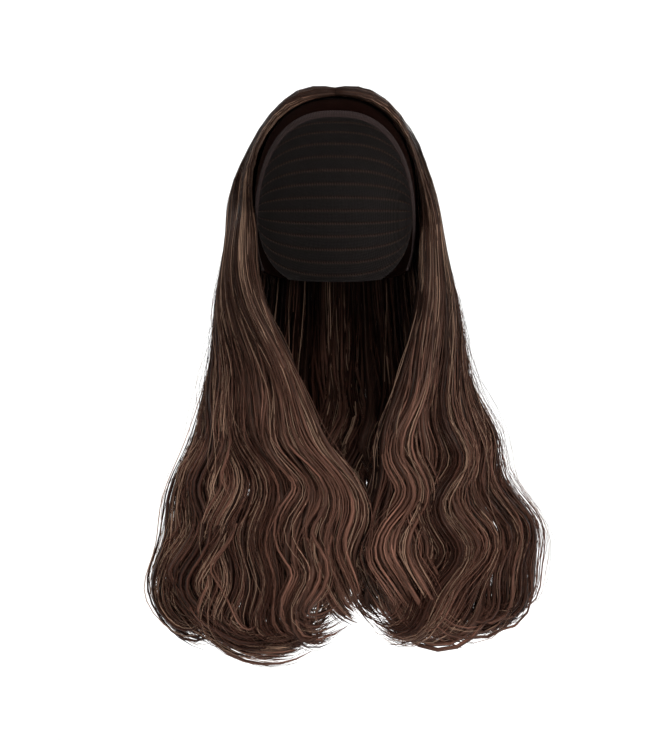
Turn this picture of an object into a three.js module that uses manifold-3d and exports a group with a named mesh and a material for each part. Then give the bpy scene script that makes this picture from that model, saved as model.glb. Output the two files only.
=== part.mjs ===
// A half wig on a head band: a knitted edge and a velvet band over the front of the head, a thin cap behind
// them, hair combed from the top of the cap to both sides, and long wavy locks that fall over the front of
// the shoulders and down the back. Millimetres, +Z up, the face looks along -Y, and the origin is the top
// of the hollow, where the crown of the head carries the cap.
import * as THREE from "three";
import { mergeVertices } from "three/addons/utils/BufferGeometryUtils.js";
import Module from "manifold-3d";

const wasm = await Module();
wasm.setup();

// The head that the wig is worn on, from its crown down
const head = {
  halfWidth: 69,
  halfDepth: 94,
  crownHeight: 98,
  napeHeight: 95,
  roundness: 2.5, // 2 is an ellipse, and more is squarer
  widerBehind: 0.1, // how much its half width grows for each millimetre further back
  columns: 40,
  rows: 24,
};

// The band over the front of the head
const band = {
  frontDrop: 25, // from the crown down to the front edge
  lean: THREE.MathUtils.degToRad(52), // of the band's plane, back from upright
  edgeWidth: 8,
  edgeWall: 2.6,
  velvetWidth: 26,
  velvetWall: 2,
};

const seam = 0.3; // clearance between pieces that are sewn together
// The cap's hem lies below the head's widest level, and is higher at the ears than at the nape
const cap = { wall: 1.5, hemBelow: 52, hemTilt: THREE.MathUtils.degToRad(8) };

// The hair over the cap, as one rounded form down to where the locks start
const crown = {
  hairAbove: 12, // over the top of the cap
  hairBeside: 28.5, // beside the widest part of the head
  hairBehind: 22,
  setBack: 4, // of the whole form, from the middle of the head
  bareVelvet: 10, // how much velvet shows before the hair starts
  thinnerInFront: 0.22, // how much narrower the form gets towards the face
  thinFrom: -0.35, // where that starts and is complete, forward from the middle, as shares of the half depth
  thinTo: 0.15,
  fullerAtLocks: 0.3, // how much of it is given back down at the locks
  thinnest: 3, // of the hair over the cap, wherever the form comes close to it
  locksDrop: 115, // from the crown down to the level where the locks start
};
// Where the hair starts at the temple and the cheek, as shares of the head's half depth and crown height.
// side is -1 on the left and 1 on the right, and swing bends the line between the temple and the cheek.
const hairLines = [
  { side: -1, templeForward: -0.1, templeDrop: 0.66, cheekForward: 0.45, swing: 1.3 },
  { side: 1, templeForward: -0.05, templeDrop: 0.75, cheekForward: 0.16, swing: 1.3 },
];
// From the top down: drop is a share of the whole height, across of the half width and deep of the half depth
const crownRows = [
  { drop: 0, across: 0.16, deep: 0.18 },
  { drop: 0.025, across: 0.28, deep: 0.32 },
  { drop: 0.06, across: 0.38, deep: 0.43 },
  { drop: 0.16, across: 0.55, deep: 0.64 },
  { drop: 0.3, across: 0.695, deep: 0.8 },
  { drop: 0.4, across: 0.777, deep: 0.875 },
  { drop: 0.61, across: 0.892, deep: 0.955 },
  { drop: 0.815, across: 0.955, deep: 0.99 },
  { drop: 1, across: 1, deep: 1 },
];

// The locks, below that level
const locks = {
  length: 360,
  spread: 67, // from the side of the crown's hair out to the widest lock
  inFront: 18, // from the forehead out to the front of the locks
  behind: 11, // from the back of the head out to the middle of the back locks
  thickness: 25,
  gap: 1.2, // between neighbours
  sections: 18,
  sides: 8,
  tipShare: 0.45, // how wide a tip is, as a share of its lock
  tipPower: 12, // the higher, the later the lock narrows to its tip
};
// The waves in the locks: sideways and outwards are lengths, and the shares are of the way down
const waves = { count: 3.3, sideways: 7, outwards: 4.5, slant: 1.3, startShare: 0.2, fullShare: 0.7 };

// Each fall of hair is a curtain between two edges. A row is one level: across and forward are shares of
// reach and forward, and bow is how far the curtain bows outwards between its edges, as a share of reach.
// near is the edge beside the face, and far the edge at the shoulder.
const reach = head.halfWidth + crown.hairBeside + locks.spread;
const forward = head.halfDepth + locks.inFront;
const behind = head.halfDepth + locks.behind;
const leftFall = {
  name: "left",
  lockEnds: [0.955, 0.975, 0.985, 0.97, 0.9],
  rows: [
    { nearAcross: -0.45, nearForward: 0.36, farAcross: -0.53, farForward: -0.2, bow: 0.05, thick: 0.82 },
    { nearAcross: -0.44, nearForward: 0.39, farAcross: -0.57, farForward: -0.21, bow: 0.07, thick: 0.9 },
    { nearAcross: -0.37, nearForward: 0.45, farAcross: -0.61, farForward: -0.21, bow: 0.09, thick: 1 },
    { nearAcross: -0.24, nearForward: 0.54, farAcross: -0.64, farForward: -0.15, bow: 0.1, thick: 1 },
    { nearAcross: -0.17, nearForward: 0.65, farAcross: -0.68, farForward: 0, bow: 0.11, thick: 1 },
    { nearAcross: -0.04, nearForward: 0.76, farAcross: -0.75, farForward: 0.2, bow: 0.12, thick: 1.05 },
    { nearAcross: 0.07, nearForward: 0.86, farAcross: -0.8, farForward: 0.37, bow: 0.12, thick: 1.1 },
    { nearAcross: 0.13, nearForward: 0.93, farAcross: -0.86, farForward: 0.5, bow: 0.12, thick: 1.15 },
    { nearAcross: 0.09, nearForward: 0.97, farAcross: -0.9, farForward: 0.6, bow: 0.11, thick: 1.2 },
    { nearAcross: 0.02, nearForward: 0.98, farAcross: -0.87, farForward: 0.66, bow: 0.1, thick: 1.2 },
    { nearAcross: -0.02, nearForward: 0.98, farAcross: -0.77, farForward: 0.72, bow: 0.09, thick: 1.1 },
  ],
};
const rightFall = {
  name: "right",
  lockEnds: [0.9, 0.945, 0.95, 0.945, 0.89],
  rows: [
    { nearAcross: 0.47, nearForward: 0.12, farAcross: 0.53, farForward: -0.2, bow: 0.05, thick: 0.8 },
    { nearAcross: 0.46, nearForward: 0.19, farAcross: 0.57, farForward: -0.21, bow: 0.07, thick: 0.88 },
    { nearAcross: 0.43, nearForward: 0.33, farAcross: 0.62, farForward: -0.21, bow: 0.09, thick: 1 },
    { nearAcross: 0.37, nearForward: 0.48, farAcross: 0.67, farForward: -0.15, bow: 0.1, thick: 1 },
    { nearAcross: 0.31, nearForward: 0.63, farAcross: 0.73, farForward: 0, bow: 0.11, thick: 1 },
    { nearAcross: 0.26, nearForward: 0.76, farAcross: 0.82, farForward: 0.2, bow: 0.11, thick: 1.05 },
    { nearAcross: 0.22, nearForward: 0.86, farAcross: 0.9, farForward: 0.37, bow: 0.11, thick: 1.1 },
    { nearAcross: 0.19, nearForward: 0.93, farAcross: 0.99, farForward: 0.5, bow: 0.11, thick: 1.15 },
    { nearAcross: 0.14, nearForward: 0.97, farAcross: 1.03, farForward: 0.6, bow: 0.11, thick: 1.2 },
    { nearAcross: 0.17, nearForward: 0.98, farAcross: 1.04, farForward: 0.66, bow: 0.1, thick: 1.2 },
    { nearAcross: 0.24, nearForward: 0.97, farAcross: 0.99, farForward: 0.72, bow: 0.09, thick: 1.1 },
  ],
};
// The back fall is level from side to side. across and behind are shares of reach and behind, for its edge,
// and middle is how far back its middle lies.
const backFall = {
  name: "back",
  lockEnds: [0.94, 0.975, 0.99, 1, 0.985, 0.97, 0.945],
  rows: [
    { across: 0.53, behind: 0.26, middle: 1, thick: 0.88 },
    { across: 0.57, behind: 0.27, middle: 1.01, thick: 0.92 },
    { across: 0.61, behind: 0.28, middle: 1, thick: 0.96 },
    { across: 0.65, behind: 0.32, middle: 0.98, thick: 1 },
    { across: 0.69, behind: 0.42, middle: 0.97, thick: 1 },
    { across: 0.74, behind: 0.55, middle: 0.99, thick: 1.05 },
    { across: 0.79, behind: 0.66, middle: 1.01, thick: 1.1 },
    { across: 0.83, behind: 0.75, middle: 1.03, thick: 1.1 },
    { across: 0.86, behind: 0.81, middle: 1.03, thick: 1.1 },
    { across: 0.86, behind: 0.85, middle: 1.02, thick: 1.1 },
    { across: 0.8, behind: 0.88, middle: 1, thick: 1 },
  ],
};

const colours = { hair: 0x3c2a24, velvet: 0x0d0908, edge: 0x2e2625, net: 0x1c1413 };

function material(name, color, roughness) {
  return new THREE.MeshStandardMaterial({ name, color, roughness, metalness: 0 });
}

function solidOf(geometry) {
  const bare = geometry.clone();
  bare.deleteAttribute("normal");
  bare.deleteAttribute("uv");
  const merged = mergeVertices(bare, 1e-4);
  return new wasm.Manifold(
    new wasm.Mesh({
      numProp: 3,
      vertProperties: merged.attributes.position.array,
      triVerts: new Uint32Array(merged.index.array),
    }),
  );
}

function geometryOf(solid) {
  const mesh = solid.getMesh();
  const geometry = new THREE.BufferGeometry();
  geometry.setAttribute("position", new THREE.BufferAttribute(new Float32Array(mesh.vertProperties), 3));
  geometry.setIndex(new THREE.BufferAttribute(new Uint32Array(mesh.triVerts), 1));
  geometry.computeVertexNormals();
  return geometry;
}

// A sphere pressed towards a box by its roundness, with its own height above and below the middle
function roundedForm(halfWidth, halfDepth, above, below, roundness, columns, rows) {
  const geometry = new THREE.SphereGeometry(1, columns, rows);
  geometry.rotateX(Math.PI / 2);
  const at = geometry.attributes.position;
  for (let i = 0; i < at.count; i++) {
    const [x, y, z] = [at.getX(i), at.getY(i), at.getZ(i)];
    const sum = [x, y, z].reduce((total, part) => total + Math.abs(part) ** roundness, 0);
    const size = sum ** (-1 / roundness);
    at.setXYZ(i, x * size * halfWidth, y * size * halfDepth, z * size * (z > 0 ? above : below));
  }
  return geometry;
}

// The head, grown all round by an offset
function headSolid(offset) {
  const geometry = roundedForm(
    head.halfWidth + offset,
    head.halfDepth + offset,
    head.crownHeight + offset,
    head.napeHeight + offset,
    head.roundness,
    head.columns,
    head.rows,
  );
  const at = geometry.attributes.position;
  const perWidth = head.widerBehind / head.halfWidth;
  for (let i = 0; i < at.count; i++) at.setX(i, at.getX(i) * (1 + perWidth * at.getY(i)));
  geometry.translate(0, 0, -head.crownHeight);
  return solidOf(geometry);
}

const farOut = 4 * head.crownHeight; // larger than anything that a cutting block passes through

// How far forward the head's middle line is at the front edge of the band
const frontForward =
  head.halfDepth * (1 - (1 - band.frontDrop / head.crownHeight) ** head.roundness) ** (1 / head.roundness);
const bandFront = new THREE.Vector3(0, -frontForward, -band.frontDrop);
const bandBack = new THREE.Vector3(0, Math.sin(band.lean), Math.cos(band.lean));

// What lies between two distances behind the band's front edge, square to the band's plane
function behindEdge(from, to) {
  const block = new THREE.BoxGeometry(farOut, farOut, to - from);
  block.rotateX(-band.lean);
  const middle = bandFront.clone().addScaledVector(bandBack, (from + to) / 2);
  block.translate(middle.x, middle.y, middle.z);
  return solidOf(block);
}

// Everything above the cap's hem, which is higher at the ears than at the nape
function aboveHem() {
  const block = new THREE.BoxGeometry(farOut, farOut, farOut);
  block.translate(0, 0, farOut / 2);
  block.rotateX(-cap.hemTilt);
  const earRise = 0.5 * head.halfDepth * Math.tan(cap.hemTilt);
  block.translate(0, 0, earRise - head.crownHeight - cap.hemBelow);
  return solidOf(block);
}

const bandWidth = band.edgeWidth + seam + band.velvetWidth;
const ribbedEdge = headSolid(band.edgeWall)
  .subtract(headSolid(0))
  .intersect(behindEdge(0, band.edgeWidth))
  .intersect(aboveHem());
const velvetBand = headSolid(band.velvetWall)
  .subtract(headSolid(0))
  .intersect(behindEdge(band.edgeWidth + seam, bandWidth))
  .intersect(aboveHem());
const wigCap = headSolid(cap.wall)
  .subtract(headSolid(0))
  .intersect(behindEdge(bandWidth + seam, farOut))
  .intersect(aboveHem());

// What the hair leaves bare on one side. Seen from that side, it starts behind the velvet that shows, follows
// the band down to the temple, and comes forward over the band below it.
function faceOpening(line) {
  const start = band.edgeWidth + seam + crown.bareVelvet;
  const startAt = bandFront.clone().addScaledVector(bandBack, start);
  const temple = { forward: line.templeForward * head.halfDepth, drop: line.templeDrop * head.crownHeight };
  const cheek = { forward: line.cheekForward * head.halfDepth, drop: crown.locksDrop };
  const outline = new THREE.Shape();
  outline.moveTo(-farOut, farOut);
  outline.lineTo(startAt.y, farOut);
  outline.lineTo(startAt.y, startAt.z + crown.hairAbove);
  outline.quadraticCurveTo(startAt.y, startAt.z - crown.hairAbove, -temple.forward, -temple.drop);
  outline.quadraticCurveTo(-temple.forward, -temple.drop * line.swing, -cheek.forward, -cheek.drop);
  outline.lineTo(-cheek.forward, -farOut);
  outline.lineTo(-farOut, -farOut);
  const block = new THREE.ExtrudeGeometry(outline, { depth: farOut, bevelEnabled: false, curveSegments: 6 });
  block.translate(0, 0, line.side < 0 ? seam - farOut : -seam);
  // The outline's across and up become the part's forward and up
  block.applyMatrix4(new THREE.Matrix4().makeBasis(
    new THREE.Vector3(0, 1, 0),
    new THREE.Vector3(0, 0, 1),
    new THREE.Vector3(1, 0, 0),
  ));
  return solidOf(block);
}

// The outer form of the hair over the cap, as rings from the top down to the locks
function crownForm() {
  const levels = 18;
  const halfWidth = head.halfWidth + crown.hairBeside;
  const halfDepth = head.halfDepth + crown.hairBehind;
  const height = crown.locksDrop + crown.hairAbove;
  const rows = crownRows.map((row) => new THREE.Vector3(row.across, row.deep, row.drop));
  const outline = new THREE.CatmullRomCurve3(rows);
  const rings = [];
  for (let i = 0; i <= levels; i++) {
    const row = outline.getPoint(i / levels);
    const ring = [];
    for (let j = 0; j < head.columns; j++) {
      const turn = (2 * Math.PI * j) / head.columns;
      const back = row.y * halfDepth * Math.sin(turn) + crown.setBack;
      const towardsFace = THREE.MathUtils.smoothstep(-back / head.halfDepth, crown.thinFrom, crown.thinTo);
      const narrower = 1 - crown.thinnerInFront * towardsFace * (1 - crown.fullerAtLocks * row.z ** 2);
      ring.push(new THREE.Vector3(
        row.x * halfWidth * Math.cos(turn) * narrower,
        back,
        crown.hairAbove - row.z * height,
      ));
    }
    rings.push(ring);
  }
  return loftOf(rings);
}

function crownHair() {
  const aboveLocks = new THREE.BoxGeometry(farOut, farOut, farOut);
  aboveLocks.translate(0, 0, farOut / 2 - crown.locksDrop);
  const leastCover = headSolid(cap.wall + seam + crown.thinnest).intersect(solidOf(aboveLocks));
  const overCap = solidOf(crownForm())
    .add(leastCover)
    .subtract(headSolid(cap.wall + seam))
    .subtract(headSolid(band.edgeWall + seam).intersect(behindEdge(-farOut, bandWidth + seam)));
  return hairLines.reduce((hair, line) => hair.subtract(faceOpening(line)), overCap);
}

// A curve through one value of every row, read at a share of the way down
function along(rows, pick) {
  const points = rows.map((row, i) => new THREE.Vector2(i / (rows.length - 1), pick(row)));
  const curve = new THREE.SplineCurve(points);
  return (share) => curve.getPoint(share).y;
}

// The curtain of a fall: its two edges, its bow and its thickness, each as a function of the share down
function curtainOf(fall) {
  const { rows } = fall;
  if (rows[0].across === undefined)
    return {
      near: [along(rows, (r) => r.nearAcross * reach), along(rows, (r) => -r.nearForward * forward)],
      far: [along(rows, (r) => r.farAcross * reach), along(rows, (r) => -r.farForward * forward)],
      bow: along(rows, (r) => r.bow * reach),
      thick: along(rows, (r) => r.thick * locks.thickness),
    };
  return {
    near: [along(rows, (r) => -r.across * reach), along(rows, (r) => r.behind * behind)],
    far: [along(rows, (r) => r.across * reach), along(rows, (r) => r.behind * behind)],
    bow: along(rows, (r) => (r.middle - r.behind) * behind),
    thick: along(rows, (r) => r.thick * locks.thickness),
  };
}

// How much further out a point has to be to lie clear of the head
function pushFromHead(at, up, clearance) {
  const { roundness } = head;
  const wider = 1 + (head.widerBehind * at.y) / head.halfWidth;
  const overHead = Math.abs((up + head.crownHeight) / (head.napeHeight + clearance)) ** roundness;
  if (overHead >= 1) return 1;
  const taken =
    Math.abs(at.x / wider / (head.halfWidth + clearance)) ** roundness +
    Math.abs(at.y / (head.halfDepth + clearance)) ** roundness;
  return Math.max(1, ((1 - overHead) / taken) ** (1 / roundness));
}

const leastRun = 0.35; // keeps a curtain's ends from turning right round, as a share of its width

// A point of the curtain: over is the share from its near edge to its far one, down the share of its length,
// and out the distance from its middle surface, away from the body
function onCurtain(curtain, over, down, out) {
  const near = new THREE.Vector2(curtain.near[0](down), curtain.near[1](down));
  const far = new THREE.Vector2(curtain.far[0](down), curtain.far[1](down));
  const middle = near.clone().add(far).multiplyScalar(0.5);
  const chord = far.clone().sub(near);
  const side = chord.clone().normalize();
  const outward = new THREE.Vector2(side.y, -side.x);
  if (outward.dot(middle) < 0) outward.negate();
  const bow = curtain.bow(down);
  const round = Math.min(1, (2 * bow) / chord.length()); // 0 is nearly flat, and 1 half an ellipse
  const turn = Math.PI * over;
  const acrossShare = (1 - round) * (2 * over - 1) - round * Math.cos(turn);
  const bowShare = (1 - round) * 4 * over * (1 - over) + round * Math.sin(turn);
  const slope = (1 - round) * 4 * (1 - 2 * over) + round * Math.PI * Math.cos(turn);
  const run = ((1 - round) * 2 + round * Math.PI * Math.sin(turn)) * chord.length() * 0.5;
  const normal = outward
    .clone()
    .multiplyScalar(Math.max(run, leastRun * chord.length()))
    .addScaledVector(side, -slope * bow)
    .normalize();
  const swell = THREE.MathUtils.smoothstep(down, waves.startShare, waves.fullShare);
  const phase = 2 * Math.PI * (waves.count * down + waves.slant * over);
  const up = -crown.locksDrop - seam - down * locks.length;
  const at = middle
    .addScaledVector(side, acrossShare * chord.length() * 0.5 + swell * waves.sideways * Math.sin(phase))
    .addScaledVector(outward, bow * bowShare)
    .addScaledVector(normal, swell * waves.outwards * Math.cos(phase));
  at.multiplyScalar(pushFromHead(at, up, cap.wall + seam + 0.5 * curtain.thick(down)));
  at.addScaledVector(normal, out);
  return new THREE.Vector3(at.x, at.y, up);
}

// A closed form through rings of points, each ring with as many points
function loftOf(rings) {
  const sides = rings[0].length;
  const positions = rings.flat();
  const index = [];
  for (let i = 0; i + 1 < rings.length; i++)
    for (let j = 0; j < sides; j++) {
      const [a, b] = [i * sides + j, i * sides + ((j + 1) % sides)];
      index.push(a, a + sides, b, b, a + sides, b + sides);
    }
  const last = (rings.length - 1) * sides;
  for (let j = 1; j + 1 < sides; j++) {
    index.push(0, j, j + 1);
    index.push(last, last + j + 1, last + j);
  }
  const geometry = new THREE.BufferGeometry().setFromPoints(positions);
  geometry.setIndex(index);
  return geometry;
}

// 1 where the far edge lies to the right of the near one, seen from outside, and -1 where it lies to the left
function turnOf(curtain) {
  const across = curtain.far[0](0) * curtain.near[1](0) - curtain.near[0](0) * curtain.far[1](0);
  return Math.sign(across);
}

// One lock: a share of the curtain from edge to edge, thinner at its sides, drawn in towards its end
function lockOf(curtain, index, count, end) {
  const rings = [];
  const turnsTo = turnOf(curtain);
  for (let i = 0; i <= locks.sections; i++) {
    const down = (i / locks.sections) * end;
    const drawnIn = Math.max(locks.tipShare, Math.sqrt(1 - (down / end) ** locks.tipPower));
    const chord = Math.hypot(
      curtain.far[0](down) - curtain.near[0](down),
      curtain.far[1](down) - curtain.near[1](down),
    );
    const halfShare = (0.5 / count - (0.5 * locks.gap) / chord) * drawnIn;
    const ring = [];
    for (let j = 0; j < locks.sides; j++) {
      const turn = (2 * Math.PI * j) / locks.sides;
      const over = (index + 0.5) / count + halfShare * Math.cos(turn);
      const out = 0.5 * curtain.thick(down) * drawnIn * Math.sin(turn) * turnsTo;
      ring.push(onCurtain(curtain, over, down, out));
    }
    rings.push(ring);
  }
  return loftOf(rings);
}

const wig = new THREE.Group();
const finish = {
  hair: material("hair", colours.hair, 0.45),
  velvet: material("velvet", colours.velvet, 0.95),
  edge: material("knitted_edge", colours.edge, 0.85),
  net: material("cap_net", colours.net, 0.9),
};

function place(name, geometry, look) {
  const mesh = new THREE.Mesh(geometry, look);
  mesh.name = name;
  wig.add(mesh);
}

place("ribbed_edge", geometryOf(ribbedEdge), finish.edge);
place("velvet_band", geometryOf(velvetBand), finish.velvet);
place("wig_cap", geometryOf(wigCap), finish.net);
place("crown_hair", geometryOf(crownHair()), finish.hair);

const wornCap = headSolid(cap.wall + seam);
for (const fall of [leftFall, rightFall, backFall]) {
  const curtain = curtainOf(fall);
  fall.lockEnds.forEach((end, i) => {
    const lock = solidOf(lockOf(curtain, i, fall.lockEnds.length, end));
    place(`lock_${fall.name}_${i + 1}`, geometryOf(lock.subtract(wornCap)), finish.hair);
  });
}

export default wig;
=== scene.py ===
import math

import bmesh
import bpy
import numpy as np
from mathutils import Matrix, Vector


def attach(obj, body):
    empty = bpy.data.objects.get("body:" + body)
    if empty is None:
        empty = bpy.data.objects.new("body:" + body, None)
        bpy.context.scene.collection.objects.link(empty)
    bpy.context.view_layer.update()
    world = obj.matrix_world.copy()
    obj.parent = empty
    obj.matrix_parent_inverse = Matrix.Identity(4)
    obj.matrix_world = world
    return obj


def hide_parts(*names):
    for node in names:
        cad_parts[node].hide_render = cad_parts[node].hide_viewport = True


# Looks for the half wig: a ribbed knit edge and a velvet band, a stretch cap behind them, and the hair
# itself, combed from a centre parting to both sides and falling in soft waves. Metres, as in the CAD.
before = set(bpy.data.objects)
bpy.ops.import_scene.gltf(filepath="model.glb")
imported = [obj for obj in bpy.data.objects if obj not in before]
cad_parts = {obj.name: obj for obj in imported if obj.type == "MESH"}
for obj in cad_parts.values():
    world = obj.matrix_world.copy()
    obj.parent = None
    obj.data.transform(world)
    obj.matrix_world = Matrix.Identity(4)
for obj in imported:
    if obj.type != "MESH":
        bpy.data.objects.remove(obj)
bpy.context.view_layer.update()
rng = np.random.default_rng(417)
print("frame loaded")


# Shader helpers

class Wire:
    # wraps a socket, so that an expression adds its Math nodes
    def __init__(self, shade, socket):
        self.shade = shade
        self.socket = socket

    def math(self, operation, first, second=None):
        values = {i: v for i, v in enumerate((first, second)) if v is not None}
        return self.shade.node("ShaderNodeMath", {"operation": operation}, values).out(0)

    def __add__(self, other):
        return self.math("ADD", self, other)

    def __radd__(self, other):
        return self.math("ADD", other, self)

    def __sub__(self, other):
        return self.math("SUBTRACT", self, other)

    def __rsub__(self, other):
        return self.math("SUBTRACT", other, self)

    def __mul__(self, other):
        return self.math("MULTIPLY", self, other)

    def __rmul__(self, other):
        return self.math("MULTIPLY", other, self)

    def __pow__(self, other):
        return self.math("POWER", self, other)

    def sine(self):
        return self.math("SINE", self)

    def wave(self, period):
        return (self * (2 * math.pi / period)).sine()

    def clipped(self, low, high):
        return self.math("MINIMUM", self.math("MAXIMUM", self, low), high)


class Made:
    # a node that has its settings and sockets
    def __init__(self, shade, node):
        self.shade = shade
        self.node = node

    def out(self, which):
        return Wire(self.shade, self.node.outputs[which])


class Shade:
    def __init__(self, name):
        self.material = bpy.data.materials.new(name)
        self.material.use_nodes = True
        self.tree = self.material.node_tree
        self.tree.nodes.clear()

    def node(self, kind, settings=None, values=None):
        made = self.tree.nodes.new(kind)
        for key, value in (settings or {}).items():
            setattr(made, key, value)
        self.fill(made, values or {})
        return Made(self, made)

    def fill(self, made, values):
        for key, value in values.items():
            if isinstance(value, Wire):
                self.tree.links.new(value.socket, made.inputs[key])
            else:
                made.inputs[key].default_value = value

    def attribute(self, name):
        return self.node("ShaderNodeAttribute", {"attribute_name": name}).out("Color")

    def uv(self, name):
        return self.node("ShaderNodeUVMap", {"uv_map": name}).out(0)

    def place(self):
        return self.node("ShaderNodeTexCoord").out("Object")

    def parts(self, vector):
        split = self.node("ShaderNodeSeparateXYZ", None, {0: vector})
        return split.out(0), split.out(1), split.out(2)

    def vector(self, x, y, z):
        return self.node("ShaderNodeCombineXYZ", None, {0: x, 1: y, 2: z}).out(0)

    def noise(self, vector, scale, detail=2.0, roughness=0.5):
        values = {"Vector": vector, "Scale": scale, "Detail": detail, "Roughness": roughness}
        return self.node("ShaderNodeTexNoise", None, values).out(0)

    def mixed(self, factor, one, other, blend="MIX"):
        settings = {"data_type": "RGBA", "blend_type": blend}
        return self.node("ShaderNodeMix", settings, {0: factor, 6: one, 7: other}).out(2)

    def tinted(self, colour, tone):
        # a colour made lighter and darker by a tone
        return self.mixed(1.0, colour, self.vector(tone, tone, tone), "MULTIPLY")

    def bump(self, height, strength, distance):
        values = {"Height": height, "Strength": strength, "Distance": distance}
        return self.node("ShaderNodeBump", None, values).out(0)

    def finish(self, **sockets):
        # socket names are given in camelCase here: baseColor is Base Color
        shader = self.node("ShaderNodeBsdfPrincipled")
        names = {socket.name.replace(" ", "").lower(): socket.name for socket in shader.node.inputs}
        self.fill(shader.node, {names[key.lower()]: value for key, value in sockets.items()})
        self.node("ShaderNodeOutputMaterial", None, {"Surface": shader.out(0)})
        return self.material


# The forms that the hair follows, with the CAD's own numbers in metres

head = {
    "halfWidth": 0.069, "halfDepth": 0.094, "above": 0.098, "below": 0.095,
    "roundness": 2.5, "widerBehind": 0.1, "firstRadius": 0.09, "rounds": 9,
}
band = {
    "frontDrop": 0.025, "lean": math.radians(52), "edgeWidth": 0.008, "edgeWall": 0.0026,
    "velvetWidth": 0.026, "velvetWall": 0.002, "seam": 0.0003, "hairFrom": 0.0183,
}
capFacts = {
    "wall": 0.0015, "hemBelow": 0.052, "hemTilt": math.radians(8),
    "flat": (0.25, 0.21), "area": 0.0425, "segments": 96, "rings": 64, "play": 0.0003,
}
offHead = 0.0002  # the least room between the head's form and the cloth
middle = np.array([0, 0, -head["above"]])  # of the head
crownForm = {
    "above": 0.012, "halfWidth": 0.0975, "halfDepth": 0.116, "setBack": 0.004, "drop": 0.115,
    "thinner": 0.22, "thinFrom": -0.35, "thinTo": 0.15, "fuller": 0.3,
    "drops": [0, 0.025, 0.06, 0.16, 0.3, 0.4, 0.61, 0.815, 1],
    "across": [0.16, 0.28, 0.38, 0.55, 0.695, 0.777, 0.892, 0.955, 1],
    "deep": [0.18, 0.32, 0.43, 0.64, 0.8, 0.875, 0.955, 0.99, 1],
    "nearest": 0.03, "furthest": 0.22, "rounds": 22,
}
reach, forward, behind = 0.1645, 0.112, 0.105
fallTop, fallLength, fallThick = -0.1153, 0.36, 0.025
leastRun = 0.35  # a fall's curve never runs slower than this share of its chord
falls = {
    "left": {
        "nearX": [-.45, -.44, -.37, -.24, -.17, -.04, .07, .13, .09, .02, -.02],
        "nearY": [.36, .39, .45, .54, .65, .76, .86, .93, .97, .98, .98],
        "farX": [-.53, -.57, -.61, -.64, -.68, -.75, -.8, -.86, -.9, -.87, -.77],
        "farY": [-.2, -.21, -.21, -.15, 0, .2, .37, .5, .6, .66, .72],
        "bow": [.05, .07, .09, .1, .11, .12, .12, .12, .11, .1, .09],
        "thick": [.82, .9, 1, 1, 1, 1.05, 1.1, 1.15, 1.2, 1.2, 1.1],
    },
    "right": {
        "nearX": [.47, .46, .43, .37, .31, .26, .22, .19, .14, .17, .24],
        "nearY": [.12, .19, .33, .48, .63, .76, .86, .93, .97, .98, .97],
        "farX": [.53, .57, .62, .67, .73, .82, .9, .99, 1.03, 1.04, .99],
        "farY": [-.2, -.21, -.21, -.15, 0, .2, .37, .5, .6, .66, .72],
        "bow": [.05, .07, .09, .1, .11, .11, .11, .11, .11, .1, .09],
        "thick": [.8, .88, 1, 1, 1, 1.05, 1.1, 1.15, 1.2, 1.2, 1.1],
    },
    "back": {
        "across": [.53, .57, .61, .65, .69, .74, .79, .83, .86, .86, .8],
        "behind": [.26, .27, .28, .32, .42, .55, .66, .75, .81, .85, .88],
        "middle": [1, 1.01, 1, .98, .97, .99, 1.01, 1.03, 1.03, 1.02, 1],
        "thick": [.88, .92, .96, 1, 1, 1.05, 1.1, 1.1, 1.1, 1.1, 1],
    },
}


def smooth(value, low, high):
    t = np.clip((value - low) / (high - low), 0, 1)
    return t * t * (3 - 2 * t)


def spline(values, share):
    # a curve through evenly spaced values
    values = np.asarray(values, float)
    last = len(values) - 1
    place = np.clip(share, 0, 1) * last
    i = np.clip(np.floor(place).astype(int), 0, last - 1)
    w = place - i
    a, b = values[np.maximum(i - 1, 0)], values[i]
    c, d = values[i + 1], values[np.minimum(i + 2, last)]
    bend, twist = 2 * a - 5 * b + 4 * c - d, 3 * b - a - 3 * c + d
    return 0.5 * (2 * b + (c - a) * w + bend * w * w + twist * w ** 3)


def unit(vectors):
    return vectors / np.maximum(np.linalg.norm(vectors, axis=-1, keepdims=True), 1e-12)


def headRadius(direction, grow):
    # from the head's middle out to its surface, which is grown all round
    radius = np.full(direction.shape[:-1], head["firstRadius"])
    for _ in range(head["rounds"]):
        p = direction * radius[..., None]
        height = np.where(p[..., 2] > 0, head["above"], head["below"]) + grow
        wide = (head["halfWidth"] + grow) * (1 + head["widerBehind"] * p[..., 1] / head["halfWidth"])
        power = head["roundness"]
        fill = np.abs(p[..., 0] / wide) ** power + np.abs(p[..., 1] / (head["halfDepth"] + grow)) ** power
        fill = fill + np.abs(p[..., 2] / height) ** power
        radius = radius * fill ** (-1 / power)
    return radius


crownShare = np.linspace(0, 1, 121)
crownDrops = spline(crownForm["drops"], crownShare)
crownAcross = spline(crownForm["across"], crownShare)
crownDeep = spline(crownForm["deep"], crownShare)


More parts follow.
